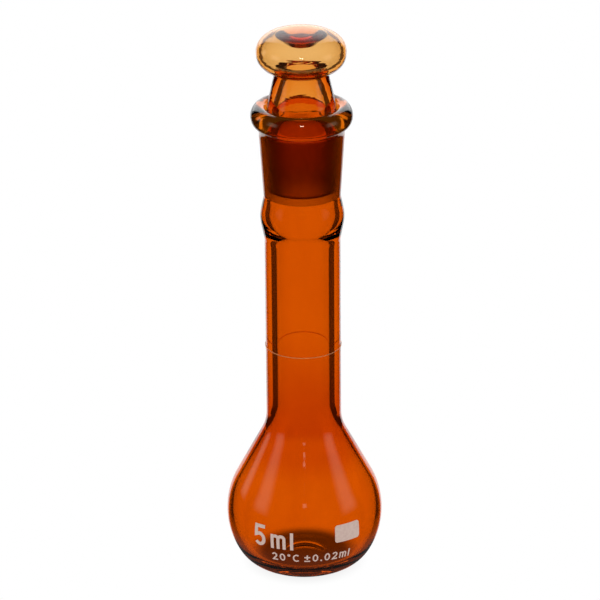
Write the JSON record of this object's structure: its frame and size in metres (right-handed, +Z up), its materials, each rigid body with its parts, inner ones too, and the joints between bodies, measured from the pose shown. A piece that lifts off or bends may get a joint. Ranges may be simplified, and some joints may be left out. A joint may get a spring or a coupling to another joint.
{
  "type": "volumetric flask",
  "caption": "Small amber glass volumetric flask: round bulb, long neck with a graduation line, ground socket with a beaded rim, and a hollow ground stopper that lifts out.",
  "frame": {"origin": "centre of the foot, on the plane the flask stands on", "axes": "+Z up along the flask's axis, -Y towards the printed capacity, +X to the right of the print"},
  "size_m": [0.022, 0.022, 0.0795],
  "materials": {
    "amber_glass": "clear amber-stained borosilicate glass, fire-polished, with the socket ground matt inside",
    "stopper_glass": "lighter amber-stained borosilicate glass, with the plug ground matt outside",
    "enamel": "thin fired-on white enamel"
  },
  "bodies": {
    "flask": {"flask_body": "amber_glass", "graduation_line": "enamel", "writing_field": "enamel", "capacity_digit_5": "enamel", "capacity_letter_m": "enamel", "capacity_letter_l": "enamel", "temperature_digit_2": "enamel", "temperature_digit_0": "enamel", "temperature_degree_sign": "enamel", "temperature_letter_C": "enamel", "tolerance_plus_sign": "enamel", "tolerance_minus_sign": "enamel", "tolerance_digit_0_ones": "enamel", "tolerance_decimal_point": "enamel", "tolerance_digit_0_tenths": "enamel", "tolerance_digit_2": "enamel", "tolerance_letter_m": "enamel", "tolerance_letter_l": "enamel"},
    "stopper": {"stopper": "stopper_glass"}
  },
  "joints": [
    {"name": "stopper_lift", "type": "slide", "parent": "flask", "child": "stopper", "axis": [0, 0, 1], "range_m": [0, 0.03]}
  ]
}
